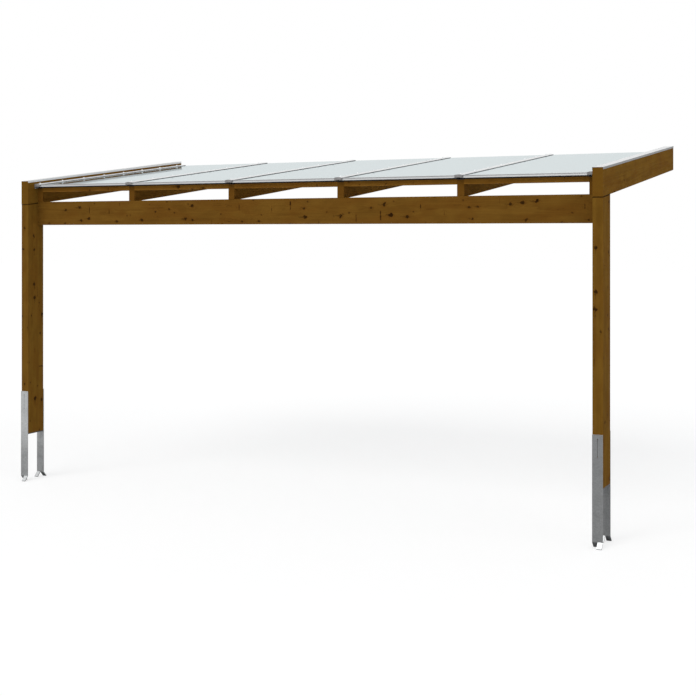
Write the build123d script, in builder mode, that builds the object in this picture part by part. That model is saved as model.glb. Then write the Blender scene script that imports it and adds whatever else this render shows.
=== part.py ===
"""Lean-to carport: two posts, a front beam, six rafters and a roof of twin-wall sheets.

The back is carried by a board on a house wall. X runs along the wall, Y points into the wall and Z
points up. The origin is the middle of the wall board's back face, so the wall's surface is Y = 0
and everything else lies in front of it, at negative Y.
"""

from build123d import *
from math import cos, radians, sin, sqrt, tan
import os

# Main layout
roof_pitch = 7.0  # degrees, falling to the front
bay_width = 1070.0  # rafter centre to rafter centre
bay_count = 5
post_length = 2170.0  # front edge, from the foot to the end board

# Timber sections, planed, with bevelled edges
post_thickness = 80.0
post_depth = 220.0
beam_thickness = 80.0
beam_depth = 220.0
rafter_thickness = 60.0
rafter_depth = 140.0
end_board_depth = 220.0
front_board_thickness = 60.0
front_board_height = 40.0
front_board_rise = 3.0  # over the rafters' tops
wall_board_thickness = 60.0
edge_bevel = 3.0
joint_bevel = 3.0  # on both sides of the joint between post and end board, at the front

# Roof sheets and their edge profiles
sheet_length = 2500.0
sheet_thickness = 16.0
sheet_gap = 22.0  # between two sheets, over each rafter
sheet_wall_gap = 4.0
sheet_overhang = 35.0  # past the front beam
sheet_skin = 1.0
sheet_rib = 0.8
sheet_cell = 32.0  # rib to rib
edge_profile_wall = 1.5
edge_profile_top_leg = 25.0
edge_profile_bottom_leg = 15.0
edge_profile_nose_reach = 10.0  # drip nose, before the front wall
edge_profile_nose_height = 10.0

# Glazing bars and their rubber seals
bar_width = 70.0
bar_height = 10.0  # over the sheets
bar_wall = 2.0
bar_rim_height = 2.5
bar_crown_flats = 8  # narrow flats that make up the crowned top
bar_overhang = 10.0  # past the sheets' front edges
bar_leg_spacing = 12.0  # the two legs beside the screws
bar_leg_depth = 20.0
bar_leg_setback = 45.0  # the legs end behind the edge profiles
bar_side_play = 0.5  # outer bars to the end boards
end_cap_thickness = 3.0
end_cap_height = 24.0
seal_height = 19.0  # rafter to sheet
seal_base = 3.0
seal_lip = 3.0
seal_lip_inner = 14.0  # from the rafter's middle
seal_lip_outer = 27.0
seal_top_height = 2.0  # sheet to bar
seal_top_width = 5.0
seal_top_play = 1.0  # behind the edge profiles' upper legs
closure_depth = 15.0  # strip between front board and sheet
closure_setback = 6.0

# Capping on the end boards
capping_wall = 1.5
capping_flange = 16.0

# Post anchors of flat steel
strap_thickness = 8.0
strap_overlap = 398.0  # beside the post
strap_drop = 400.0  # from the post's foot to the bend
strap_hole = 8.5
strap_hole_top = 35.0  # below the strap's upper end
strap_slot_length = 132.0
strap_slot_width = 2.5
split_gap = 2.0  # between the two bent tabs
tab_length = 52.0
tab_bend_radius = 12.0
tab_bend_angle = 42.0
seat_thickness = 8.0

# Wall board's bolts and the hangers that carry the inner rafters
wall_bolt_hole = 14.0
wall_bolt_spacing = 860.0
wall_bolt_count = 6
hanger_steel = 2.0
hanger_flange = 34.0
hanger_reach = 60.0
hanger_height = 110.0

# Sizes that follow
pitch_angle = radians(roof_pitch)
slope = tan(pitch_angle)
rafter_plumb = rafter_depth / cos(pitch_angle)
end_board_plumb = end_board_depth / cos(pitch_angle)
rafter_span = bay_count * bay_width
inner_half = (rafter_span + rafter_thickness) / 2
outer_half = inner_half + post_thickness
rafter_xs = [bay_width * index - rafter_span / 2 for index in range(bay_count + 1)]
bay_xs = [bay_width * (index + 0.5) - rafter_span / 2 for index in range(bay_count)]
sheet_run = sheet_length * cos(pitch_angle)
wall_distance = sheet_wall_gap + sheet_run - sheet_overhang - beam_thickness + post_depth
front_y = -wall_distance
post_back_y = front_y + post_depth
beam_front_y = post_back_y - beam_thickness
sheet_width = bay_width - sheet_gap
bar_half = bar_width / 2
leg_out = rafter_thickness / 2 - bar_side_play
sheet_top = seal_height + sheet_thickness
bar_top = sheet_top + bar_height
bar_rim = sheet_top + seal_top_height

# The wall board's back face is as high as the rafters and the fall over its own thickness.
wall_board_height = rafter_plumb + wall_board_thickness * slope


def roof_z(y):
    """Height of the rafters' top faces."""
    return wall_board_height / 2 + y * slope


def soffit_z(y):
    """Height of the lower edges of the rafters and the end boards."""
    return roof_z(y) - rafter_plumb


beam_top_z = soffit_z(post_back_y)
beam_bottom_z = beam_top_z - beam_depth
foot_z = soffit_z(front_y) - post_length


def roof_section(x):
    """Plane square to the slope at the roof's upper end, facing down the slope, Y up."""
    return Plane(
        origin=(x, -sheet_wall_gap, roof_z(-sheet_wall_gap)),
        x_dir=(1, 0, 0),
        z_dir=(0, -cos(pitch_angle), -sin(pitch_angle)),
    )


def sheet_front(x):
    """Plane along the slope at the sheets' front edges, facing +X, with its X up the slope."""
    return Plane(
        origin=(
            x,
            -sheet_wall_gap - sheet_run,
            roof_z(-sheet_wall_gap) - sheet_length * sin(pitch_angle),
        ),
        x_dir=(0, cos(pitch_angle), sin(pitch_angle)),
        z_dir=(1, 0, 0),
    )


def arch_height(across, radius_inset=0.0):
    """Height of the glazing bar's crowned top at a distance from its middle."""
    rise = bar_height - seal_top_height - bar_rim_height
    radius = (bar_half**2 + rise**2) / (2 * rise)
    return bar_top - radius + sqrt((radius - radius_inset) ** 2 - across**2)


def crown_line(first, last, inset=0.0):
    """Points along the glazing bar's crowned top, from one distance across it to another."""
    step = (last - first) / bar_crown_flats
    distances = [first + step * number for number in range(bar_crown_flats + 1)]
    return [(across, arch_height(across, inset)) for across in distances]


def save(piece, label):
    piece.label = label
    export_step(piece, f"parts/{label}.step")


os.makedirs("parts", exist_ok=True)

# Posts: long side along the slope, top cut to the slope to carry the end board
for side, label in ((-1, "post_left"), (1, "post_right")):
    near_x = min(side * inner_half, side * outer_half)
    with BuildPart() as post:
        with BuildSketch(Plane.YZ.offset(near_x)):
            with BuildLine():
                Polyline(
                    (front_y, foot_z),
                    (post_back_y, foot_z),
                    (post_back_y, soffit_z(post_back_y)),
                    (front_y + joint_bevel, soffit_z(front_y + joint_bevel)),
                    (front_y, soffit_z(front_y) - joint_bevel),
                    close=True,
                )
            make_face()
        extrude(amount=post_thickness)
        chamfer(post.edges().filter_by(Axis.Z), edge_bevel)
    save(post.part, label)

# Front beam between the posts, flush with their back faces
with BuildPart() as front_beam:
    with BuildSketch(Plane.YZ.offset(-inner_half)):
        with Locations((beam_front_y + beam_thickness / 2, beam_top_z - beam_depth / 2)):
            Rectangle(beam_thickness, beam_depth)
    extrude(amount=2 * inner_half)
    chamfer(front_beam.edges().filter_by(Axis.X), edge_bevel)
save(front_beam.part, "front_beam")

# Rafters: level seat on the beam, plumb front flush with the beam, plumb back at the wall board
for index, x in enumerate(rafter_xs, start=1):
    with BuildPart() as rafter:
        with BuildSketch(Plane.YZ.offset(x - rafter_thickness / 2)):
            with BuildLine():
                Polyline(
                    (beam_front_y, beam_top_z),
                    (post_back_y, beam_top_z),
                    (-wall_board_thickness, soffit_z(-wall_board_thickness)),
                    (-wall_board_thickness, roof_z(-wall_board_thickness)),
                    (beam_front_y, roof_z(beam_front_y)),
                    close=True,
                )
            make_face()
        extrude(amount=rafter_thickness)
        long_edges = [edge for edge in rafter.edges() if edge.length > wall_distance / 2]
        chamfer(long_edges, edge_bevel)
    save(rafter.part, f"rafter_{index}")

# End boards: they stand on the posts and rise over the roof as a parapet
for side, label in ((-1, "end_board_left"), (1, "end_board_right")):
    near_x = min(side * inner_half, side * outer_half)
    with BuildPart() as end_board:
        with BuildSketch(Plane.YZ.offset(near_x)):
            with BuildLine():
                Polyline(
                    (front_y, soffit_z(front_y) + joint_bevel),
                    (front_y + joint_bevel, soffit_z(front_y + joint_bevel)),
                    (0, soffit_z(0)),
                    (0, soffit_z(0) + end_board_plumb),
                    (front_y, soffit_z(front_y) + end_board_plumb),
                    close=True,
                )
            make_face()
        extrude(amount=post_thickness)
        long_edges = [edge for edge in end_board.edges() if edge.length > wall_distance / 2]
        chamfer(long_edges, edge_bevel)
    save(end_board.part, label)

# Cappings: a folded channel over the top of each end board, with plumb ends
for side, label in ((-1, "capping_left"), (1, "capping_right")):
    near_x = min(side * inner_half, side * outer_half)
    wall_plumb = capping_wall / cos(pitch_angle)
    flange_plumb = capping_flange / cos(pitch_angle)
    board_top_front = soffit_z(front_y) + end_board_plumb
    board_top_wall = soffit_z(0) + end_board_plumb
    with BuildPart() as capping:
        with BuildSketch(Plane.YZ.offset(near_x - capping_wall)):
            with BuildLine():
                Polyline(
                    (front_y, board_top_front - flange_plumb),
                    (0, board_top_wall - flange_plumb),
                    (0, board_top_wall + wall_plumb),
                    (front_y, board_top_front + wall_plumb),
                    close=True,
                )
            make_face()
        extrude(amount=post_thickness + 2 * capping_wall)
        with BuildSketch(Plane.YZ.offset(near_x)):
            with BuildLine():
                Polyline(
                    (front_y, board_top_front - flange_plumb),
                    (0, board_top_wall - flange_plumb),
                    (0, board_top_wall),
                    (front_y, board_top_front),
                    close=True,
                )
            make_face()
        extrude(amount=post_thickness, mode=Mode.SUBTRACT)
    save(capping.part, label)

# Front boards: they close the top of each bay between the rafters
front_board_length = bay_width - rafter_thickness
front_board_back_y = beam_front_y + front_board_thickness
front_board_rise_plumb = front_board_rise / cos(pitch_angle)
front_board_top_z = roof_z(beam_front_y) + front_board_rise_plumb
for index, x in enumerate(bay_xs, start=1):
    with BuildPart() as front_board:
        with BuildSketch(Plane.YZ.offset(x - front_board_length / 2)):
            with BuildLine():
                Polyline(
                    (beam_front_y, front_board_top_z - front_board_height),
                    (front_board_back_y, front_board_top_z - front_board_height),
                    (front_board_back_y, roof_z(front_board_back_y) + front_board_rise_plumb),
                    (beam_front_y, front_board_top_z),
                    close=True,
                )
            make_face()
        extrude(amount=front_board_length)
    save(front_board.part, f"front_board_{index}")

# Wall board between the end boards, top bevelled to the slope, with holes for the wall's bolts
wall_board_bottom_z = soffit_z(-wall_board_thickness)
with BuildPart() as wall_board:
    with BuildSketch(Plane.YZ.offset(-inner_half)):
        with BuildLine():
            Polyline(
                (0, wall_board_bottom_z),
                (0, roof_z(0)),
                (-wall_board_thickness, roof_z(-wall_board_thickness)),
                (-wall_board_thickness, wall_board_bottom_z),
                close=True,
            )
        make_face()
    extrude(amount=2 * inner_half)
    with BuildSketch(Plane.XZ):
        with GridLocations(wall_bolt_spacing, 1, wall_bolt_count, 1):
            Circle(wall_bolt_hole / 2)
    extrude(amount=wall_board_thickness, mode=Mode.SUBTRACT)
save(wall_board.part, "wall_board")

# Hangers of folded steel: two cheeks, a seat under the rafter and two flanges on the wall board
with BuildPart() as rafter_hangers:
    board_face_y = -wall_board_thickness
    seat_front_y = board_face_y - hanger_reach
    steel_plumb = hanger_steel / cos(pitch_angle)
    cheek_top_z = soffit_z(board_face_y) + hanger_height
    for x in rafter_xs[1:-1]:
        rafter_half = rafter_thickness / 2
        with BuildSketch(Plane.YZ.offset(x - rafter_half - hanger_steel)):
            with BuildLine():
                Polyline(
                    (board_face_y, soffit_z(board_face_y) - steel_plumb),
                    (board_face_y, cheek_top_z),
                    (board_face_y - hanger_reach / 3, cheek_top_z),
                    (seat_front_y, soffit_z(seat_front_y) + hanger_height / 3),
                    (seat_front_y, soffit_z(seat_front_y) - steel_plumb),
                    close=True,
                )
            make_face()
        extrude(amount=rafter_thickness + 2 * hanger_steel)
        with BuildSketch(Plane.XZ.offset(-board_face_y)):
            with Locations((x, (wall_board_bottom_z + cheek_top_z) / 2)):
                Rectangle(
                    rafter_thickness + 2 * hanger_flange,
                    cheek_top_z - wall_board_bottom_z,
                )
        extrude(amount=hanger_steel)
        with BuildSketch(Plane.YZ.offset(x - rafter_half)):
            with BuildLine():
                Polyline(
                    (board_face_y, soffit_z(board_face_y)),
                    (board_face_y, roof_z(board_face_y)),
                    (seat_front_y, roof_z(seat_front_y)),
                    (seat_front_y, soffit_z(seat_front_y)),
                    close=True,
                )
            make_face()
        extrude(amount=rafter_thickness, mode=Mode.SUBTRACT)
save(rafter_hangers.part, "rafter_hangers")

# Roof sheets: two skins with upright ribs, open cells that run down the slope
cell_count = int((sheet_width - sheet_rib) // sheet_cell)
cell_height = sheet_thickness - 2 * sheet_skin
for index, x in enumerate(bay_xs, start=1):
    with BuildPart() as roof_sheet:
        with BuildSketch(roof_section(x)):
            with Locations((0, seal_height + sheet_thickness / 2)):
                Rectangle(sheet_width, sheet_thickness)
                with GridLocations(sheet_cell, 1, cell_count, 1):
                    Rectangle(sheet_cell - sheet_rib, cell_height, mode=Mode.SUBTRACT)
        extrude(amount=sheet_length)
    save(roof_sheet.part, f"roof_sheet_{index}")

# Sheet edge profiles: a channel on each sheet's front edge with a hollow drip nose below. The two
# outer ones run on to the closing legs of the outer glazing bars.
nose_top = seal_height + edge_profile_nose_height
nose_bottom = seal_height - edge_profile_wall
nose_slant = (nose_top - nose_bottom) / edge_profile_nose_reach
hollow_top = nose_top - edge_profile_wall * sqrt(1 + nose_slant**2)
hollow_reach = (hollow_top - seal_height) / nose_slant
edge_run_on = leg_out - bar_wall - bar_side_play
for index, x in enumerate(bay_xs, start=1):
    left_end = rafter_xs[0] - edge_run_on if index == 1 else x - sheet_width / 2
    right_end = rafter_xs[-1] + edge_run_on if index == bay_count else x + sheet_width / 2
    with BuildPart() as sheet_edge:
        with BuildSketch(sheet_front(left_end)):
            with BuildLine():
                Polyline(
                    (edge_profile_bottom_leg, nose_bottom),
                    (edge_profile_bottom_leg, seal_height),
                    (0, seal_height),
                    (0, sheet_top),
                    (edge_profile_top_leg, sheet_top),
                    (edge_profile_top_leg, sheet_top + edge_profile_wall),
                    (-edge_profile_wall, sheet_top + edge_profile_wall),
                    (-edge_profile_wall, nose_top),
                    (-edge_profile_wall - edge_profile_nose_reach, nose_bottom),
                    close=True,
                )
            make_face()
            with BuildLine():
                Polyline(
                    (-edge_profile_wall, hollow_top),
                    (-edge_profile_wall, seal_height),
                    (-edge_profile_wall - hollow_reach, seal_height),
                    close=True,
                )
            make_face(mode=Mode.SUBTRACT)
        extrude(amount=right_end - left_end)
    save(sheet_edge.part, f"sheet_edge_{index}")

# Glazing bars: a crowned aluminium cap with two legs beside the screws
bar_length = sheet_length + bar_overhang
bar_leg_length = bar_length - bar_leg_setback
for index, x in enumerate(rafter_xs[1:-1], start=2):
    with BuildPart() as glazing_bar:
        with BuildSketch(roof_section(x)):
            with BuildLine():
                Polyline(
                    (-bar_half, bar_rim),
                    (bar_half, bar_rim),
                    *crown_line(bar_half, -bar_half),
                    close=True,
                )
            make_face()
            with BuildLine():
                inner = bar_half - bar_wall
                Polyline(
                    (-inner, bar_rim),
                    (inner, bar_rim),
                    *crown_line(inner, -inner, bar_wall),
                    close=True,
                )
            make_face(mode=Mode.SUBTRACT)
        extrude(amount=bar_length)
        with BuildSketch(roof_section(x)):
            with Locations((0, bar_top - bar_wall / 2 - bar_leg_depth / 2)):
                with GridLocations(bar_leg_spacing, 1, 2, 1):
                    Rectangle(bar_wall, bar_leg_depth)
        extrude(amount=bar_leg_length)
    save(glazing_bar.part, f"glazing_bar_{index}")

# Outer glazing bars: crowned over the sheet, flat with a closing leg beside the end board
for side, index, x in ((-1, 1, rafter_xs[0]), (1, bay_count + 1, rafter_xs[-1])):
    with BuildPart() as outer_bar:
        with BuildSketch(roof_section(x)):
            with BuildLine():
                inner = bar_half - bar_wall
                Polyline(
                    *crown_line(-side * bar_half, 0),
                    (side * leg_out, bar_top),
                    (side * leg_out, 0),
                    (side * (leg_out - bar_wall), 0),
                    (side * (leg_out - bar_wall), bar_top - bar_wall),
                    *crown_line(0, -side * inner, bar_wall),
                    (-side * inner, bar_rim),
                    (-side * bar_half, bar_rim),
                    close=True,
                )
            make_face()
        extrude(amount=bar_length)
        with BuildSketch(roof_section(x)):
            with Locations((0, bar_top - bar_wall / 2 - bar_leg_depth / 2)):
                with GridLocations(bar_leg_spacing, 1, 2, 1):
                    Rectangle(bar_wall, bar_leg_depth)
        extrude(amount=bar_leg_length)
    save(outer_bar.part, f"glazing_bar_{index}")

# End caps: a plate on each bar's front end that reaches down before the sheets' corners
cap_bottom = bar_top - end_cap_height
with BuildPart() as bar_end_caps:
    for index, x in enumerate(rafter_xs):
        with BuildSketch(roof_section(x).offset(bar_length)):
            with BuildLine():
                if index in (0, bay_count):
                    side = -1 if index == 0 else 1
                    Polyline(
                        *crown_line(-side * bar_half, 0),
                        (side * leg_out, bar_top),
                        (side * leg_out, cap_bottom),
                        (-side * bar_half, cap_bottom),
                        close=True,
                    )
                else:
                    Polyline(
                        (-bar_half, cap_bottom),
                        (bar_half, cap_bottom),
                        *crown_line(bar_half, -bar_half),
                        close=True,
                    )
            make_face()
        extrude(amount=end_cap_thickness)
save(bar_end_caps.part, "bar_end_caps")

# Rubber seals: a ribbed strip on each rafter, a lip under each rim of the bars and a closure
# between each front board and its sheet
rafter_seal_length = (-beam_front_y - sheet_wall_gap) / cos(pitch_angle)
seal_top_length = sheet_length - edge_profile_top_leg - seal_top_play
closure_width = bay_width - 2 * seal_lip_outer - seal_lip
with BuildPart() as roof_seals:
    for index, x in enumerate(rafter_xs):
        strip_half = rafter_thickness / 2
        sides = [-1, 1]
        if index == 0:
            sides = [1]
        if index == bay_count:
            sides = [-1]
        closing_wall = leg_out - bar_wall
        with BuildSketch(roof_section(x)):
            left_end = -strip_half if -1 in sides else -closing_wall
            right_end = strip_half if 1 in sides else closing_wall
            with Locations(((left_end + right_end) / 2, seal_base / 2)):
                Rectangle(right_end - left_end, seal_base)
            lip_places = [
                (side * distance, seal_height / 2)
                for side in sides
                for distance in (seal_lip_inner, seal_lip_outer)
            ]
            with Locations(*lip_places):
                Rectangle(seal_lip, seal_height)
        extrude(amount=rafter_seal_length)
        with BuildSketch(roof_section(x)):
            top_places = [
                (side * (bar_half - seal_top_width / 2), sheet_top + seal_top_height / 2)
                for side in sides
            ]
            with Locations(*top_places):
                Rectangle(seal_top_width, seal_top_height)
        extrude(amount=seal_top_length)
    for x in bay_xs:
        with BuildSketch(roof_section(x).offset(rafter_seal_length - closure_setback)):
            with Locations((0, (front_board_rise + seal_height) / 2)):
                Rectangle(closure_width, seal_height - front_board_rise)
        extrude(amount=-closure_depth)
save(roof_seals.part, "roof_seals")

# Post anchors: straps of flat steel on the post's front and back faces, split and bent at the end
strap_top_z = foot_z + strap_overlap
bend_z = foot_z - strap_drop
tab_width = (post_thickness - split_gap) / 2
for side, side_name in ((-1, "left"), (1, "right")):
    x = side * (inner_half + post_thickness / 2)
    for face_y, outward, face_name in ((front_y, -1, "front"), (post_back_y, 1, "back")):
        strap_y = face_y + outward * strap_thickness / 2
        with BuildPart() as strap:
            with BuildSketch(Plane.XY.offset(bend_z)):
                with Locations((x, strap_y)):
                    Rectangle(post_thickness, strap_thickness)
            extrude(amount=strap_top_z - bend_z)
            for tab_side, bend_way in ((-1, -outward), (1, outward)):
                tab_x = x + tab_side * (post_thickness - tab_width) / 2
                with BuildLine(Plane.YZ.offset(tab_x)):
                    bend = JernArc(
                        start=(strap_y, bend_z),
                        tangent=(0, -1),
                        radius=tab_bend_radius,
                        arc_size=bend_way * tab_bend_angle,
                    )
                    Line(bend @ 1, bend @ 1 + (bend % 1) * tab_length)
                with BuildSketch(Plane.XY.offset(bend_z)):
                    with Locations((tab_x, strap_y)):
                        Rectangle(tab_width, strap_thickness)
                sweep()
            with BuildSketch(Plane.XZ.offset(-strap_y - strap_thickness)):
                hole_high = strap_top_z - strap_hole_top
                hole_low = hole_high - strap_slot_length
                with Locations((x, hole_high), (x, hole_low)):
                    Circle(strap_hole / 2)
                with Locations((x, (hole_high + hole_low) / 2)):
                    Rectangle(strap_slot_width, strap_slot_length)
            extrude(amount=2 * strap_thickness, mode=Mode.SUBTRACT)
        save(strap.part, f"anchor_strap_{face_name}_{side_name}")
    with BuildPart() as anchor_seat:
        with BuildSketch(Plane.XY.offset(foot_z - seat_thickness)):
            with Locations((x, front_y + post_depth / 2)):
                Rectangle(post_thickness, post_depth)
        extrude(amount=seat_thickness)
    save(anchor_seat.part, f"anchor_seat_{side_name}")

print("beam bottom", round(beam_bottom_z, 1), "foot", round(foot_z, 1), "bend", round(bend_z, 1))
print("sheet front y", round(sheet_front(0).origin.Y, 1), "roof at wall", round(roof_z(0), 1))
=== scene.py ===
"""Looks of a lean-to carport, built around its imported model. Metres, Z up, the wall at Y = 0."""

from math import cos, pi, radians, sin, tan

import bmesh
import bpy
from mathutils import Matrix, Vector


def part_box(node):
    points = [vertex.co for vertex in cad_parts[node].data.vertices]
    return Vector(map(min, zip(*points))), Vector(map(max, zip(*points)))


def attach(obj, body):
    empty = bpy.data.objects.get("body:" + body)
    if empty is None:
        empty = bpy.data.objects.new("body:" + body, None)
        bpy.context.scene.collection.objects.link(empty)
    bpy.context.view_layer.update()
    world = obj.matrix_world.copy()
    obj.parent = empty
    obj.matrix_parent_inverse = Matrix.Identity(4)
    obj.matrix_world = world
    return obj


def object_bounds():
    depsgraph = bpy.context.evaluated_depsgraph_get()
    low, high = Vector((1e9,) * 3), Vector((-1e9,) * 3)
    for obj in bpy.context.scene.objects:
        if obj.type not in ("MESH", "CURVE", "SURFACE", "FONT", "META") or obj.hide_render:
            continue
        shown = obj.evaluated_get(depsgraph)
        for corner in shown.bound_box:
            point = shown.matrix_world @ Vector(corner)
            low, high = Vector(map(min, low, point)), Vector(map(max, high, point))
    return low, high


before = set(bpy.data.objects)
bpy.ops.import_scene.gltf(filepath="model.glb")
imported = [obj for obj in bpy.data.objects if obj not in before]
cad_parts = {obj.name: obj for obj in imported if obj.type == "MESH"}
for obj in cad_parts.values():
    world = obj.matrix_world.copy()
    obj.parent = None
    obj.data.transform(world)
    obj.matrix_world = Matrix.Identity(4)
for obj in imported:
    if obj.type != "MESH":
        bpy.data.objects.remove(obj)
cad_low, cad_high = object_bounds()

# Sizes that the carport's timber and roof are laid out on
ROOF_PITCH = radians(7.0)
SLOPE = tan(ROOF_PITCH)
UP_SLOPE = Vector((0, cos(ROOF_PITCH), sin(ROOF_PITCH)))
OFF_ROOF = Vector((0, -sin(ROOF_PITCH), cos(ROOF_PITCH)))
ROOF_START = -0.004
ROOF_LENGTH = 2.5
BAY = 1.07
RAFTER_XS = [BAY * (number - 2.5) for number in range(6)]
BAR_TOP = 0.045
RAFTER_HALF = 0.030
WALL_BOARD_FACE = -0.060
SHEET_RIB_PITCH = 0.032
SHEET_SKIN_FACES = 4  # two skins with two glossy faces each

# Colours of the finishes
STAIN_LIGHT = (0.152, 0.078, 0.0110)
STAIN_DARK = (0.100, 0.047, 0.0062)
STAIN_KNOT = (0.012, 0.0045, 0.0012)
STAIN_RED = (0.120, 0.050, 0.0062)
STAIN_WORN = (0.195, 0.100, 0.0150)
STAIN_END = (0.114, 0.053, 0.0070)
SHEET_PALE = (0.88, 0.92, 0.935, 1)
SHEET_SHADE = (0.80, 0.86, 0.885, 1)
SHEET_GLOSS = (0.705, 0.760, 0.768, 1)
SHEET_DUST = (0.42, 0.43, 0.40, 1)
ZINC_LIGHT = (0.635, 0.646, 0.652)
ZINC_SHADE = (0.472, 0.482, 0.490)
ZINC_PAINTED_TOP_LIGHT = (0.80, 0.82, 0.83, 1)
ZINC_PAINTED_UNDERSIDE_SHADE = (0.05, 0.052, 0.055, 1)
RUBBER_BLACK = (0.016, 0.016, 0.017, 1)
RUBBER_BLOOM = (0.050, 0.050, 0.052, 1)
CAP_GREY = (0.185, 0.180, 0.180, 1)
CAP_FADED = (0.250, 0.243, 0.241, 1)
UNTINTED = (1, 1, 1)

# Sizes in the wood and its finish
KNOT_CELL_LENGTH, KNOT_CELL_WIDTH = 0.160, 0.105
SMALLEST_KNOT = 0.0064
KNOT_RANGE = 0.0098
RING_SPACING = 0.0042
RING_WAVER = 0.030
KNOT_DETOUR, DETOUR_REACH = 0.011, 0.013

rafter_top_at_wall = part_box("wall_board")[1].z


def on_roof(x, along, height):
    """A point at a distance up the slope from the roof's front edge, above the rafters' tops."""
    start = Vector((x, ROOF_START, rafter_top_at_wall + ROOF_START * SLOPE))
    return start - UP_SLOPE * (ROOF_LENGTH - along) + OFF_ROOF * height


class Wire:
    """One output of a node. Arithmetic on wires and numbers adds the Math nodes."""

    def __init__(self, graph, socket):
        self.graph = graph
        self.socket = socket

    def math(self, operation, *others, flip=False):
        values = [self, *others]
        if flip:
            values.reverse()
        return self.graph.math(operation, *values)

    def __add__(self, other):
        return self.math("ADD", other)

    def __sub__(self, other):
        return self.math("SUBTRACT", other)

    def __mul__(self, other):
        return self.math("MULTIPLY", other)

    def __truediv__(self, other):
        return self.math("DIVIDE", other)

    def __pow__(self, other):
        return self.math("POWER", other)

    def __rsub__(self, other):
        return self.math("SUBTRACT", other, flip=True)

    def __rtruediv__(self, other):
        return self.math("DIVIDE", other, flip=True)

    def __gt__(self, other):
        return self.math("GREATER_THAN", other)

    def __lt__(self, other):
        return self.math("LESS_THAN", other)

    def __abs__(self):
        return self.math("ABSOLUTE")

    def __neg__(self):
        return self.math("MULTIPLY", -1.0)

    __radd__ = __add__
    __rmul__ = __mul__

    def root(self):
        return self.math("SQRT")

    def fraction(self):
        return self.math("FRACT")

    def most(self, other):
        return self.math("MAXIMUM", other)

    def clamped(self):
        return self.math("MAXIMUM", 0.0).math("MINIMUM", 1.0)

    def between(self, start, end):
        """Runs smoothly from 0 to 1 while this goes from start to end."""
        values = {"Value": self, "From Min": start, "From Max": end}
        return self.graph.node("ShaderNodeMapRange", {"interpolation_type": "SMOOTHSTEP"}, values, "Result")


class Graph:
    """The nodes of one material, world or geometry tree."""

    def __init__(self, tree):
        self.tree = tree

    def node(self, kind, settings=None, values=None, output=0):
        """Adds a node: its settings first, then the values or links of its sockets."""
        made = self.tree.nodes.new(kind)
        for name, setting in (settings or {}).items():
            setattr(made, name, setting)
        for name, value in (values or {}).items():
            socket = made.inputs[name]
            if isinstance(value, Wire):
                self.tree.links.new(value.socket, socket)
            else:
                socket.default_value = value
        return Wire(self, made.outputs[output]) if made.outputs else None

    def math(self, operation, *values):
        return self.node("ShaderNodeMath", {"operation": operation}, dict(enumerate(values)))

    def mix(self, share, first, second, blend="MIX"):
        """A mix of two colours."""
        settings = {"data_type": "RGBA", "blend_type": blend, "clamp_factor": True}
        return self.node("ShaderNodeMix", settings, {0: share, 6: first, 7: second}, 2)

    def pick(self, share, first, second):
        """A mix of two numbers."""
        return self.node("ShaderNodeMix", {"data_type": "FLOAT"}, {0: share, 2: first, 3: second})

    def vector(self, x, y, z):
        return self.node("ShaderNodeCombineXYZ", None, {"X": x, "Y": y, "Z": z})

    def parts(self, vector):
        split = self.node("ShaderNodeSeparateXYZ", None, {"Vector": vector}).socket.node
        return [Wire(self, output) for output in split.outputs]

    def noise(self, vector, scale=1.0, detail=2.0, roughness=0.5):
        values = {"Vector": vector, "Scale": scale, "Detail": detail, "Roughness": roughness}
        return self.node("ShaderNodeTexNoise", None, values)

    def bump(self, height, distance, strength):
        values = {"Height": height, "Distance": distance, "Strength": strength}
        return self.node("ShaderNodeBump", None, values)


def new_material(name):
    """An empty material and its graph."""
    material = bpy.data.materials.new(name)
    material.use_nodes = True
    material.node_tree.nodes.clear()
    return material, Graph(material.node_tree)


def surface(graph, **values):
    """A Principled surface; underscores stand for the spaces in its sockets' names."""
    named = {name.replace("_", " "): value for name, value in values.items()}
    return graph.node("ShaderNodeBsdfPrincipled", None, named)


def close(graph, shader):
    graph.node("ShaderNodeOutputMaterial", None, {"Surface": shader})


# Grain directions: local X runs along the board
ALONG_WALL = (0, 0, 0)
UPRIGHT = (0, -pi / 2, 0)
DOWN_SLOPE = (0, -ROOF_PITCH, pi / 2)


def tinted(colour, tint):
    """A colour times a tint, with its alpha."""
    return tuple(part * share for part, share in zip(colour, tint)) + (1,)


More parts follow.
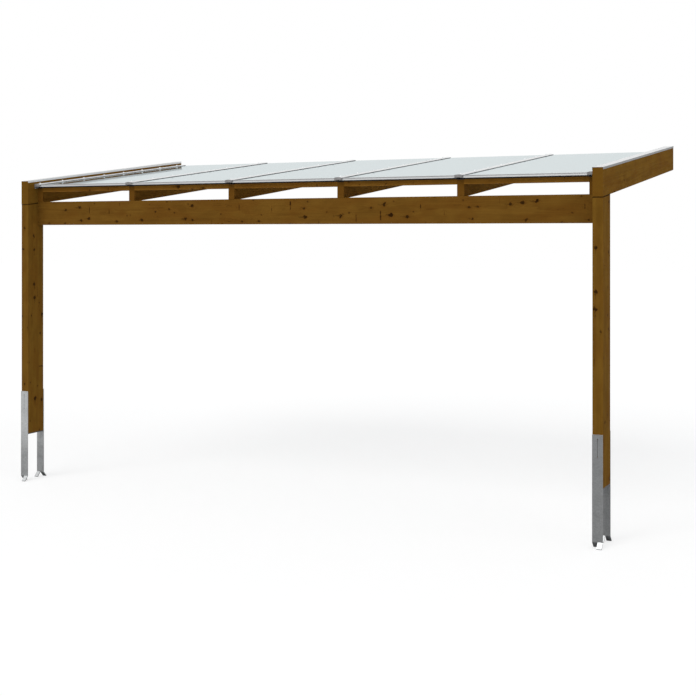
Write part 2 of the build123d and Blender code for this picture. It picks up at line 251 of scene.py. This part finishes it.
def stained_board(name, node, turn, half, pith, seed, clear, tint):
    """Brown stained spruce for one board: growth rings, knots, soft blotches and worn edges.

    Half is half the board's section, and pith is the growth rings' centre beside the board's own.
    The clear share is the part of the knot grid's cells that have no knot.
    """
    material, graph = new_material(name)
    light, dark, red, worn_stain, end_stain = [
        tinted(stain, tint) for stain in (STAIN_LIGHT, STAIN_DARK, STAIN_RED, STAIN_WORN, STAIN_END)
    ]
    knot_stain = tinted(STAIN_KNOT, UNTINTED)
    low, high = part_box(node)
    centre = (low + high) / 2
    place = graph.node("ShaderNodeTexCoord", None, None, "Object")
    facing = graph.node("ShaderNodeTexCoord", None, None, "Normal")
    onto_board = {"vector_type": "TEXTURE"}
    values = {"Vector": place, "Location": centre, "Rotation": turn}
    local = graph.node("ShaderNodeMapping", onto_board, values)
    facing = graph.node("ShaderNodeMapping", onto_board, {"Vector": facing, "Rotation": turn})
    along, across, upward = graph.parts(local)
    face_along, face_across, face_up = [abs(part) for part in graph.parts(facing)]
    is_side = face_across * 1.07 > face_up
    is_end = face_along > 0.75
    width = graph.pick(is_side, across, upward)
    depth = graph.pick(is_side, upward, across)

    # Knots: one at most in each cell of a loose grid on each face. Most are cut across and roundish,
    # some stand upright, and faint dark grain runs out of the roundish ones.
    grid_along = (along + depth * 46.0 + seed) / KNOT_CELL_LENGTH
    grid_across = (width + depth * 17.3 + seed * 0.37) / KNOT_CELL_WIDTH
    cells = graph.node(
        "ShaderNodeTexVoronoi",
        {"voronoi_dimensions": "2D"},
        {"Vector": graph.vector(grid_along, grid_across, 0.0), "Scale": 1.0, "Randomness": 0.95},
    ).socket.node
    knot_along, knot_across, _ = graph.parts(Wire(graph, cells.outputs["Position"]))
    beside_along = (grid_along - knot_along) * KNOT_CELL_LENGTH
    beside_across = (grid_across - knot_across) * KNOT_CELL_WIDTH
    chance, size, tone = graph.parts(Wire(graph, cells.outputs["Color"]))
    is_knot = (chance > clear) * (1 - is_end)
    is_upright = tone > 0.78
    radius = SMALLEST_KNOT + size * size * KNOT_RANGE
    ragged = graph.noise(local, 150.0, 3.0, 0.6) - 0.5
    lumpy = graph.noise(local, 62.0, 1.0, 0.5) - 0.5
    slanted = beside_across + beside_along * (tone - 0.42) * 0.7
    share_along = beside_along / (radius * graph.pick(is_upright, 1.0 + tone * 0.35, 0.36))
    share_across = slanted / (radius * graph.pick(is_upright, 1.12 - tone * 0.25, 2.5))
    closeness = (share_along ** 2 + share_across ** 2).root() + ragged * 0.8 + lumpy * 2.2
    knot = closeness.between(1.15, 0.80) * is_knot
    halo = closeness.between(2.7, 1.0) * is_knot * (1 - knot)
    tail_line = abs(beside_across / radius + lumpy * 2.6).between(0.50, 0.10)
    tail_reach = abs(beside_along / radius + size * 3.0 - 1.5).between(4.4, 1.6)
    tails = tail_line * tail_reach * is_knot * (1 - is_upright) * (1 - knot)
    from_knot = (beside_along ** 2 + beside_across ** 2).root()
    detour = is_knot * KNOT_DETOUR / (1 + (from_knot / DETOUR_REACH) ** 2)

    # Growth rings around the pith, which bend round the knots
    slow = graph.vector(along * 0.7 + seed, across * 9.0, upward * 9.0)
    waver = graph.noise(slow, 1.0, 3.0, 0.55)
    from_pith = ((across - pith[0]) ** 2 + (upward - pith[1]) ** 2).root()
    rings = ((from_pith + waver * RING_WAVER + detour) / RING_SPACING).fraction()
    late = rings ** 3 * rings.between(1.0, 0.93)
    fibres = graph.noise(graph.vector(along * 6.0, across * 420.0, upward * 420.0), 1.0, 2.0)
    streaks = graph.noise(graph.vector(along * 1.1 + seed, across * 34.0, upward * 34.0), 1.0, 3.0, 0.6)
    blotches = graph.noise(graph.vector(along * 6.5 + seed * 2.0, across * 14.0, upward * 14.0), 1.0, 2.0)
    warmth = graph.noise(graph.vector(along * 3.1 - seed, across * 8.0, upward * 8.0), 1.0, 2.0)

    streaky = streaks.between(0.35, 0.72)
    blotchy = blotches.between(0.38, 0.66)
    stain = graph.mix((late * 0.50 + streaky * 0.40 + blotchy * 0.35).clamped(), light, dark)
    stain = graph.mix(warmth.between(0.42, 0.64) * 0.45, stain, red)
    stain = graph.mix(halo * 0.40, stain, red)
    stain = graph.mix(tails * (0.16 + size * 0.34), stain, knot_stain)
    knot_rings = (closeness * 2.2 + tone * 3.0).fraction()
    knot_colour = graph.mix(knot_rings * 0.22, knot_stain, red)
    stain = graph.mix(knot * (0.58 + size * 0.42), stain, knot_colour)

    # Drying cracks: thin dark lines along the grain on some stretches
    lines = graph.noise(graph.vector(along * 2.2 + seed, across * 60.0, upward * 60.0), 1.0, 1.0)
    crack = abs(lines - 0.5).between(0.006, 0.0015) * warmth.between(0.56, 0.64)
    stain = graph.mix(crack * 0.8, stain, knot_stain)

    # Painted shade for the gap in the joint where an end board stands on its post
    x, y, z = graph.parts(place)
    above_joint = (z - post_top.z) * OFF_ROOF.z + (y - post_top.y) * OFF_ROOF.y
    over_post = (abs(x) > post_inner_x) * (y < post_top.y + 0.002)
    joint_painted_shade = abs(above_joint).between(0.0065, 0.0030) * over_post
    stain = graph.mix(joint_painted_shade * 0.85, stain, knot_stain)

    # Saw-cut ends drink the stain; arrises are rubbed paler in places
    stain = graph.mix(is_end * (0.55 + late * 0.4), stain, end_stain)
    from_side = half[0] - abs(across)
    from_top = half[1] - abs(upward)
    from_arris = from_side.most(from_top)
    rub = graph.noise(graph.vector(along * 9.0 + seed, across * 40.0, upward * 40.0), 1.0, 3.0, 0.6)
    worn = from_arris.between(0.0046, 0.0014) * rub.between(0.40, 0.66)
    stain = graph.mix(worn * 0.45, stain, worn_stain)

    relief = fibres * 0.35 - late * 0.55 - crack * 2.0 + knot * 0.8
    roughness = 0.74 + late * 0.08 - knot * 0.14 + fibres * 0.10 + worn * 0.08
    close(
        graph,
        surface(
            graph,
            Base_Color=stain,
            Roughness=roughness.clamped(),
            Specular_IOR_Level=0.01,
            Normal=graph.bump(relief, 0.0005, 0.55),
        ),
    )
    return material


def extruded_aluminium(name, turn, bright, metal, side_painted_light_share, grime):
    """Mill aluminium with die lines along its length and dulled by weather, with painted light by facing.

    Faces that don't look up get painted shade: they have the side share of the brightness.
    """
    material, graph = new_material(name)
    place = graph.node("ShaderNodeTexCoord", None, None, "Object")
    facing = graph.node("ShaderNodeTexCoord", None, None, "Normal")
    local = graph.node("ShaderNodeMapping", {"vector_type": "TEXTURE"}, {"Vector": place, "Rotation": turn})
    along, across, upward = graph.parts(local)
    die_lines = graph.noise(graph.vector(along * 0.8, across * 260.0, upward * 260.0), 1.0, 2.0, 0.6)
    bloom = graph.noise(graph.vector(along * 5.0, across * 22.0, upward * 22.0), 1.0, 4.0, 0.6)
    specks = graph.noise(local, 160.0, 2.0, 0.7).between(0.62, 0.74)
    dull = (bloom.between(0.42, 0.66) * grime + specks * 0.3).clamped()
    # Painted light: faces that look up keep the full brightness and the others get painted shade
    top_painted_light = graph.parts(facing)[2].between(0.30, 0.80)
    metal_colour = (bright, bright * 1.01, bright * 1.02)
    colour = graph.mix(dull, tinted(metal_colour, UNTINTED), tinted(metal_colour, (0.78,) * 3))
    colour = graph.mix(1 - top_painted_light, colour, tinted(UNTINTED, (side_painted_light_share,) * 3), "MULTIPLY")
    close(
        graph,
        surface(
            graph,
            Base_Color=colour,
            Metallic=(metal - dull * 0.10).clamped(),
            Roughness=(0.26 + dull * 0.16 + die_lines * 0.06).clamped(),
            Normal=graph.bump(die_lines, 0.00006, 0.4),
        ),
    )
    return material


def galvanized(name, tone, spangle, metal=0.80, painted_shade_fade=None):
    """Hot-dip galvanized steel: fine zinc flowers, soft dull patches and a few runs.

    Tone is its brightness and spangle the size of its flowers. Faces that look up get a painted
    highlight and faces that look down get painted shade. A fade is two heights and the share of the
    colour that is left at the second one: painted shade that darkens it towards the bottom.
    """
    material, graph = new_material(name)
    place = graph.node("ShaderNodeTexCoord", None, None, "Object")
    facing = graph.node("ShaderNodeTexCoord", None, None, "Normal")
    warp = graph.noise(place, 60.0, 2.0)
    shift = graph.vector(warp * 0.006, warp * -0.005, warp * 0.004)
    bent = graph.node("ShaderNodeVectorMath", {"operation": "ADD"}, {0: place, 1: shift})
    values = {"Vector": bent, "Scale": 1.0 / spangle, "Randomness": 1.0}
    flowers = graph.node("ShaderNodeTexVoronoi", {"voronoi_dimensions": "3D"}, values).socket.node
    facet = graph.parts(Wire(graph, flowers.outputs["Color"]))[0]
    rim = Wire(graph, flowers.outputs["Distance"]).between(0.30, 0.75)
    patches = graph.noise(place, 14.0, 3.0, 0.6).between(0.42, 0.66)
    x, y, z = graph.parts(place)
    drips = graph.noise(graph.vector(x * 60.0, y * 60.0, z * 3.0), 1.0, 2.0).between(0.55, 0.75)
    mottle = (facet * 0.45 + patches * 0.30 + rim * 0.15 + drips * 0.20).clamped()
    colour = graph.mix(mottle, tinted(ZINC_LIGHT, (tone,) * 3), tinted(ZINC_SHADE, (tone,) * 3))
    looks_up = graph.parts(facing)[2]
    # Painted highlight on faces that look up and painted shade on faces that look down
    colour = graph.mix(looks_up.between(0.25, 0.60), colour, ZINC_PAINTED_TOP_LIGHT)
    colour = graph.mix((-looks_up).between(0.25, 0.60) * 0.75, colour, ZINC_PAINTED_UNDERSIDE_SHADE)
    # Painted shade, darker towards the bottom
    if painted_shade_fade:
        fade_start, fade_end, left = painted_shade_fade
        colour = graph.mix(z.between(fade_start, fade_end), colour, (left, left, left, 1), "MULTIPLY")
    close(
        graph,
        surface(
            graph,
            Base_Color=colour,
            Metallic=metal,
            Roughness=(0.42 + patches * 0.14 + facet * 0.08).clamped(),
            Normal=graph.bump(facet * 0.4 + drips * 0.6, 0.0002, 0.35),
        ),
    )
    return material


def black_rubber(name):
    """Matt black rubber with a little chalky bloom."""
    material, graph = new_material(name)
    place = graph.node("ShaderNodeTexCoord", None, None, "Object")
    bloom = graph.noise(place, 45.0, 3.0, 0.6).between(0.45, 0.70)
    pores = graph.noise(place, 1400.0, 2.0, 0.6)
    colour = graph.mix(bloom * 0.6, RUBBER_BLACK, RUBBER_BLOOM)
    close(
        graph,
        surface(
            graph,
            Base_Color=colour,
            Roughness=(0.68 + bloom * 0.20).clamped(),
            Specular_IOR_Level=0.3,
            Normal=graph.bump(pores, 0.0001, 0.5),
        ),
    )
    return material


def twin_wall_sheet(name):
    """Opal twin-wall plastic: its ribs just show through the skin, and each skin mirrors twice."""
    material, graph = new_material(name)
    place = graph.node("ShaderNodeTexCoord", None, None, "Object")
    facing = graph.node("ShaderNodeTexCoord", None, None, "Normal")
    underside = (-graph.parts(facing)[2]).between(0.20, 0.60)
    across, along, upward = graph.parts(place)
    rib_phase = (across / SHEET_RIB_PITCH + 0.5).fraction()
    rib = abs(rib_phase - 0.5).between(0.10, 0.02)
    film = graph.noise(graph.vector(across * 7.0, along * 1.6, upward), 1.0, 3.0, 0.6)
    runs = graph.noise(graph.vector(across * 46.0, along * 1.2, upward), 1.0, 3.0, 0.65).between(0.50, 0.78)
    dust = graph.noise(place, 260.0, 2.0, 0.8).between(0.64, 0.76)
    shade = (rib * 0.50 + film.between(0.35, 0.70) * 0.30 + runs * 0.20).clamped()
    colour = graph.mix(shade, SHEET_PALE, SHEET_SHADE)
    colour = graph.mix(dust * 0.25, colour, SHEET_DUST)
    roughness = (0.025 + runs * 0.03 + dust * 0.16 + film * 0.01 + underside * 0.14).clamped()
    ripple = graph.bump(rib * 0.6 + film * 0.8, 0.0001, 0.2)
    skin = surface(graph, Base_Color=colour, Roughness=0.6, Specular_IOR_Level=0.0, Normal=ripple)
    glow = graph.node("ShaderNodeBsdfTranslucent", None, {"Color": colour, "Normal": ripple})
    body = graph.node("ShaderNodeMixShader", None, {0: 0.42, 1: skin, 2: glow})
    values = {"Color": SHEET_GLOSS, "Roughness": roughness, "Normal": ripple}
    gloss = graph.node("ShaderNodeBsdfAnisotropic", None, values)
    one_face = graph.node("ShaderNodeFresnel", None, {"IOR": 1.5})
    all_faces = one_face * SHEET_SKIN_FACES / (1 + one_face * (SHEET_SKIN_FACES - 1))
    close(graph, graph.node("ShaderNodeMixShader", None, {0: all_faces, 1: body, 2: gloss}))
    return material


def cap_plastic(name):
    """Grey moulded plastic: fine grain, a little paler where it has weathered."""
    material, graph = new_material(name)
    place = graph.node("ShaderNodeTexCoord", None, None, "Object")
    faded = graph.noise(place, 55.0, 3.0, 0.6).between(0.40, 0.70)
    grain = graph.noise(place, 1800.0, 2.0, 0.6)
    colour = graph.mix(faded, CAP_GREY, CAP_FADED)
    close(
        graph,
        surface(
            graph,
            Base_Color=colour,
            Roughness=(0.48 + faded * 0.14 + grain * 0.06).clamped(),
            Specular_IOR_Level=0.4,
            Normal=graph.bump(grain, 0.0001, 0.5),
        ),
    )
    return material


def dress(names, material):
    """Gives CAD nodes their finish."""
    for name in names if isinstance(names, list) else [names]:
        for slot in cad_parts[name].material_slots:
            slot.material = material


# Timber: every board has its own pith, knots and streaks. A row is the board's node, its grain's
# direction, half its section, its pith, its clear share and its tint.
post_low, post_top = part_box("post_right")
post_inner_x = post_low.x - 0.001
rafter_names = [f"rafter_{number}" for number in range(1, 7)]
front_board_names = [f"front_board_{number}" for number in range(1, 6)]
boards = [
    ("post_left", UPRIGHT, (0.110, 0.040), (0.035, -0.075), 0.48, (0.99, 0.98, 1.03)),
    ("post_right", UPRIGHT, (0.110, 0.040), (-0.050, 0.090), 0.58, (0.985, 0.97, 0.98)),
    ("front_beam", ALONG_WALL, (0.040, 0.110), (0.090, 0.020), 0.08, (0.95, 0.90, 0.98)),
    ("end_board_left", DOWN_SLOPE, (0.040, 0.110), (-0.080, 0.045), 0.40, (1.0, 1.0, 1.0)),
    ("end_board_right", DOWN_SLOPE, (0.040, 0.110), (0.095, -0.030), 0.88, (1.02, 1.00, 0.94)),
    ("wall_board", ALONG_WALL, (0.030, 0.074), (-0.070, 0.010), 0.35, (0.95, 0.90, 0.92)),
]
for number, name in enumerate(rafter_names):
    pith = (0.055 * (-1) ** number, 0.020 * number - 0.050)
    boards.append((name, DOWN_SLOPE, (RAFTER_HALF, 0.070), pith, 0.40, (0.93, 0.85, 0.88)))
# The front boards' tint is raised as painted light, against the shade under the sheets' overhang
for number, name in enumerate(front_board_names):
    pith = (0.050, 0.035 * (-1) ** number)
    boards.append((name, ALONG_WALL, (0.030, 0.020), pith, 0.45, (1.22, 1.12, 1.16)))
for number, (node, turn, half, pith, clear, tint) in enumerate(boards):
    seed = 3.17 * number + 1.3
    dress(node, stained_board(f"stain_{node}", node, turn, half, pith, seed, clear, tint))

# Roof metal, rubber and sheets
# The bars and sheet edges get painted shade on faces that don't look up
dress(
    [f"glazing_bar_{number}" for number in range(1, 7)],
    extruded_aluminium("bar_aluminium", DOWN_SLOPE, bright=0.70, metal=0.34, side_painted_light_share=0.38, grime=0.5),
)
dress(
    [f"sheet_edge_{number}" for number in range(1, 6)],
    extruded_aluminium("edge_aluminium", ALONG_WALL, bright=0.62, metal=0.60, side_painted_light_share=0.50, grime=0.5),
)
# Lit and shaded copies of one capping: each side has its own painted brightness, and the right one's sides
# are nearly black with painted shade
for side, bright, side_painted_light_share in (("left", 0.56, 1.05), ("right", 0.66, 0.12)):
    finish = extruded_aluminium(f"capping_aluminium_painted_light_{side}", DOWN_SLOPE, bright, 0.45, side_painted_light_share, 0.25)
    dress(f"capping_{side}", finish)
dress("roof_seals", black_rubber("seal_rubber"))
dress("bar_end_caps", cap_plastic("end_cap_plastic"))
dress([f"roof_sheet_{number}" for number in range(1, 6)], twin_wall_sheet("twin_wall_sheet"))

# Galvanized steel
# Painted shade: the seats and their welds are nearly black, for the shade under the posts' feet
seat_painted_shade_steel = galvanized("anchor_seat_steel", tone=0.06, spangle=0.011, metal=0.50)
hanger_steel = galvanized("hanger_steel", tone=0.95, spangle=0.006)
# Lit and shaded copies of one steel: the left anchors carry painted light, the right ones painted shade at
# half its brightness
dress(
    ["anchor_strap_front_left", "anchor_strap_back_left"],
    galvanized("anchor_steel_left_lit_copy", tone=0.735, spangle=0.009, painted_shade_fade=(-2.45, -2.85, 0.66)),
)
dress(
    ["anchor_strap_front_right", "anchor_strap_back_right"],
    galvanized("anchor_steel_right_shaded_copy", tone=0.345, spangle=0.009),
)
dress(["anchor_seat_left", "anchor_seat_right"], seat_painted_shade_steel)
dress("rafter_hangers", hanger_steel)


def node_tree(name, inputs):
    """A geometry tree with the named inputs; returns its graph and the inputs' wires."""
    tree = bpy.data.node_groups.new(name, "GeometryNodeTree")
    tree.interface.new_socket(name="Geometry", in_out="INPUT", socket_type="NodeSocketGeometry")
    for label, kind in inputs.items():
        tree.interface.new_socket(name=label, in_out="INPUT", socket_type=f"NodeSocket{kind}")
    tree.interface.new_socket(name="Geometry", in_out="OUTPUT", socket_type="NodeSocketGeometry")
    graph = Graph(tree)
    entry = graph.node("NodeGroupInput").socket.node
    wires = {output.name: Wire(graph, output) for output in entry.outputs if output.name}
    return graph, wires


def end_tree(graph, geometry):
    graph.node("NodeGroupOutput", None, {0: geometry})


def grow(name, seed_mesh, graph, values):
    """Runs a geometry tree on a mesh and keeps the result as a plain piece."""
    carrier = bpy.data.objects.new(f"{name}_carrier", seed_mesh)
    bpy.context.scene.collection.objects.link(carrier)
    modifier = carrier.modifiers.new("grow", "NODES")
    modifier.node_group = graph.tree
    for item in graph.tree.interface.items_tree:
        if item.item_type == "SOCKET" and item.in_out == "INPUT" and item.name in values:
            modifier[item.identifier] = values[item.name]
    depsgraph = bpy.context.evaluated_depsgraph_get()
    mesh = bpy.data.meshes.new_from_object(carrier.evaluated_get(depsgraph), depsgraph=depsgraph)
    mesh.name = name
    bpy.data.objects.remove(carrier)
    piece = bpy.data.objects.new(name, mesh)
    bpy.context.scene.collection.objects.link(piece)
    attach(piece, "root")


def marks(name, places):
    """A mesh of single points, each with the direction that its fastener faces."""
    mesh = bpy.data.meshes.new(name)
    mesh.from_pydata([tuple(point) for point, _ in places], [], [])
    outward = mesh.attributes.new("outward", "FLOAT_VECTOR", "POINT")
    for entry, (_, direction) in zip(outward.data, places):
        entry.vector = direction
    return mesh


def drum(graph, sides, low_radius, high_radius, height, base, material):
    """A closed round or many-sided drum on the Z axis, with a material."""
    values = {"Vertices": sides, "Radius Bottom": low_radius, "Radius Top": high_radius, "Depth": height}
    solid = graph.node("GeometryNodeMeshCone", None, values)
    values = {"Geometry": solid, "Translation": graph.vector(0.0, 0.0, base)}
    moved = graph.node("GeometryNodeTransform", None, values)
    return graph.node("GeometryNodeSetMaterial", None, {"Geometry": moved, "Material": material})


# Fastener heads: a washer with its rolled edge, a flange, a many-sided head and its crown
fasteners, inputs = node_tree(
    "fastener_heads",
    {
        "Washer Radius": "Float",
        "Washer Height": "Float",
        "Head Radius": "Float",
        "Head Height": "Float",
        "Head Sides": "Int",
        "Spin": "Float",
        "Washer Material": "Material",
        "Head Material": "Material",
    },
)
washer, thickness = inputs["Washer Radius"], inputs["Washer Height"]
head, height = inputs["Head Radius"], inputs["Head Height"]
washer_steel, head_steel = inputs["Washer Material"], inputs["Head Material"]
round_sides, head_sides = 28, inputs["Head Sides"]
joined = fasteners.node("GeometryNodeJoinGeometry")
for sides, low_radius, high_radius, depth, base, steel in (
    (round_sides, washer, washer, thickness * 0.7, 0.0, washer_steel),
    (round_sides, washer, washer * 0.90, thickness * 0.3, thickness * 0.7, washer_steel),
    (round_sides, head * 1.32, head * 1.05, height * 0.18, thickness, head_steel),
    (head_sides, head, head, height * 0.67, thickness + height * 0.18, head_steel),
    (head_sides, head, head * 0.80, height * 0.15, thickness + height * 0.85, head_steel),
):
    part = drum(fasteners, sides, low_radius, high_radius, depth, base, steel)
    fasteners.tree.links.new(part.socket, joined.socket.node.inputs[0])
outward = fasteners.node(
    "GeometryNodeInputNamedAttribute", {"data_type": "FLOAT_VECTOR"}, {"Name": "outward"}, "Attribute"
)
aim = fasteners.node("FunctionNodeAlignRotationToVector", {"axis": "Z"}, {"Vector": outward})
values = {"Min": 0.0, "Max": inputs["Spin"], "Seed": 7}
spun = fasteners.node("FunctionNodeRandomValue", {"data_type": "FLOAT"}, values, 1)
twist = fasteners.node("FunctionNodeAxisAngleToRotation", None, {"Axis": (0.0, 0.0, 1.0), "Angle": spun})
values = {"Rotation": aim, "Rotate By": twist}
turned = fasteners.node("FunctionNodeRotateRotation", {"rotation_space": "LOCAL"}, values)
values = {"Points": inputs["Geometry"], "Instance": joined, "Rotation": turned}
placed = fasteners.node("GeometryNodeInstanceOnPoints", None, values)
end_tree(fasteners, fasteners.node("GeometryNodeRealizeInstances", None, {"Geometry": placed}))


def fasten(name, places, washer, head, sides, steel):
    """One fastener of steel at every place; washer and head give a radius and a height each."""
    values = {
        "Washer Radius": washer[0],
        "Washer Height": washer[1],
        "Head Radius": head[0],
        "Head Height": head[1],
        "Head Sides": sides,
        "Spin": 2 * pi,
        "Washer Material": steel,
        "Head Material": steel,
    }
    grow(name, marks(f"{name}_marks", places), fasteners, values)


# Screws with wide washers along every glazing bar
SCREW_COUNT = 8
SCREW_STEP = 0.3333
FIRST_SCREW = 0.038
SCREW_SINK = 0.0006
screw_places = [
    (on_roof(x, FIRST_SCREW + SCREW_STEP * number, BAR_TOP - SCREW_SINK), OFF_ROOF)
    for x in RAFTER_XS
    for number in range(SCREW_COUNT)
]
screw_steel = galvanized("screw_steel", tone=1.25, spangle=0.004, metal=0.9)
fasten("bar_screws", screw_places, (0.0095, 0.0030), (0.0062, 0.0060), 6, screw_steel)

# Bolts that hold the wall board
OUTWARD = Vector((0, -1, 0))
BOLT_STEP = 0.86
bolt_places = [
    (Vector((BOLT_STEP * (number - 2.5), WALL_BOARD_FACE, 0.0)), OUTWARD) for number in range(6)
]
bolt_steel = galvanized("bolt_steel", tone=0.95, spangle=0.005, metal=0.85)
fasten("wall_bolts", bolt_places, (0.0185, 0.0030), (0.0104, 0.0080), 6, bolt_steel)

# Nails in the hangers' flanges and cheeks
HANGER_GAUGE = 0.002
FLANGE_NAIL_OFFSET = 0.020
FLANGE_NAIL_LEVELS = (0.018, 0.050, 0.082)
CHEEK_NAILS = ((0.026, 0.022), (0.026, 0.046), (0.058, 0.016))  # level and reach from the wall board
board_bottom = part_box("wall_board")[0].z
nail_places = []
for x in RAFTER_XS[1:-1]:
    for side in (-1, 1):
        flange_x = x + side * (RAFTER_HALF + FLANGE_NAIL_OFFSET)
        for level in FLANGE_NAIL_LEVELS:
            flange = Vector((flange_x, WALL_BOARD_FACE - HANGER_GAUGE, board_bottom + level))
            nail_places.append((flange, OUTWARD))
        cheek_x = x + side * (RAFTER_HALF + HANGER_GAUGE)
        for level, reach in CHEEK_NAILS:
            cheek = Vector((cheek_x, WALL_BOARD_FACE - reach, board_bottom + level))
            nail_places.append((cheek, Vector((side, 0, 0))))
nail_steel = galvanized("nail_steel", tone=1.05, spangle=0.004, metal=0.85)
fasten("hanger_nails", nail_places, (0.0036, 0.0008), (0.0022, 0.0007), 14, nail_steel)

# Weld beads where the seats meet the straps: a rippled cord along each line
RIPPLE_PHASE = 1570.0  # radians a metre, which makes one ripple every 4 mm
WELD_END, WELD_SINK, WELD_DROP = 0.004, 0.0015, 0.001
welds, inputs = node_tree("weld_beads", {"Radius": "Float", "Ripple": "Float", "Steel": "Material"})
line = welds.node("GeometryNodeMeshToCurve", None, {"Mesh": inputs["Geometry"]})
steps = welds.node("GeometryNodeResampleCurve", None, {"Curve": line, "Count": 90})
span = welds.node("GeometryNodeSplineParameter", None, None, "Length")
ripple = welds.math("SINE", span * RIPPLE_PHASE)
unevenness = welds.node("ShaderNodeTexNoise", None, {"Scale": 90.0})
thickness = 1 + (ripple * 0.5 + unevenness - 0.5) * inputs["Ripple"]
values = {"Resolution": 12, "Radius": inputs["Radius"]}
ring = welds.node("GeometryNodeCurvePrimitiveCircle", None, values)
values = {"Curve": steps, "Profile Curve": ring, "Scale": thickness, "Fill Caps": True}
bead = welds.node("GeometryNodeCurveToMesh", None, values)
bead = welds.node("GeometryNodeRealizeInstances", None, {"Geometry": bead})
bead = welds.node("GeometryNodeSetMaterial", None, {"Geometry": bead, "Material": inputs["Steel"]})
end_tree(welds, bead)

weld_lines = bpy.data.meshes.new("weld_lines")
ends, edges = [], []
for side in ("left", "right"):
    low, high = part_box(f"anchor_seat_{side}")
    for y in (low.y + WELD_SINK, high.y - WELD_SINK):
        ends += [(x, y, low.z - WELD_DROP) for x in (low.x + WELD_END, high.x - WELD_END)]
        edges.append((len(ends) - 2, len(ends) - 1))
weld_lines.from_pydata(ends, edges, [])
values = {"Radius": 0.0034, "Ripple": 0.16, "Steel": seat_painted_shade_steel}
grow("seat_welds", weld_lines, welds, values)

# Plain pale floor under the anchors' feet
FLOOR_HALF = 60
FLOOR_GAP = 0.0005
floor_mesh = bpy.data.meshes.new("floor")
floor_bm = bmesh.new()
bmesh.ops.create_grid(floor_bm, x_segments=4, y_segments=4, size=FLOOR_HALF)
for vertex in floor_bm.verts:
    vertex.co.z = cad_low.z - FLOOR_GAP
floor_bm.to_mesh(floor_mesh)
floor_bm.free()
floor = bpy.data.objects.new("floor", floor_mesh)
bpy.context.scene.collection.objects.link(floor)
floor_material, graph = new_material("pale_floor")
path = graph.node("ShaderNodeLightPath").socket.node
seen = Wire(graph, path.outputs["Is Camera Ray"])
pale = surface(graph, Base_Color=(0.93, 0.93, 0.93, 1), Roughness=0.9, Specular_IOR_Level=0.0)
white = surface(
    graph,
    Base_Color=(0.40, 0.40, 0.40, 1),
    Roughness=0.9,
    Specular_IOR_Level=0.0,
    Emission_Color=(1, 1, 1, 1),
    Emission_Strength=0.62,
)
close(graph, graph.node("ShaderNodeMixShader", None, {0: seen, 1: pale, 2: white}))
floor_mesh.materials.append(floor_material)

# World: plain soft light, and white where the camera, metal or plastic shows the background
world = bpy.data.worlds.new("studio")
bpy.context.scene.world = world
world.use_nodes = True
world.node_tree.nodes.clear()
graph = Graph(world.node_tree)
path = graph.node("ShaderNodeLightPath").socket.node
seen = Wire(graph, path.outputs["Is Camera Ray"])
for ray in ("Is Glossy Ray", "Is Transmission Ray"):
    seen = seen.most(Wire(graph, path.outputs[ray]))
soft = graph.node("ShaderNodeBackground", None, {"Color": (0.96, 0.98, 1.0, 1), "Strength": 0.62})
white = graph.node("ShaderNodeBackground", None, {"Color": (1, 1, 1, 1), "Strength": 1.0})
backdrop = graph.node("ShaderNodeMixShader", None, {0: seen, 1: soft, 2: white})
graph.node("ShaderNodeOutputWorld", None, {"Surface": backdrop})


def sun(name, strength, spread, azimuth, height):
    """A soft distant lamp; azimuth 0 stands in front of the carport, 90 to its right."""
    lamp = bpy.data.lights.new(name, "SUN")
    lamp.energy = strength
    lamp.angle = radians(spread)
    lamp.color = (1.0, 0.985, 0.965)
    holder = bpy.data.objects.new(name, lamp)
    turn, lift = radians(azimuth), radians(height)
    towards = Vector((sin(turn) * cos(lift), -cos(turn) * cos(lift), sin(lift)))
    holder.rotation_euler = towards.to_track_quat("Z", "Y").to_euler()
    bpy.context.scene.collection.objects.link(holder)


sun("key_lamp", strength=1.35, spread=40, azimuth=-8, height=42)
sun("side_lamp", strength=0.74, spread=60, azimuth=75, height=25)

# Camera at the photograph's viewing angle
camera_data = bpy.data.cameras.new("camera")
camera_data.sensor_width = 36.0
camera_data.lens = 63.118
camera_data.shift_x = 0.0295
camera_data.shift_y = -0.1664
camera_data.clip_end = 400
camera = bpy.data.objects.new("camera", camera_data)
camera.location = (5.08676, -11.60978, -0.6470)
camera.rotation_euler = (pi / 2, 0, radians(27.0385))
bpy.context.scene.collection.objects.link(camera)
bpy.context.scene.camera = camera

bpy.context.scene.view_settings.view_transform = "Standard"
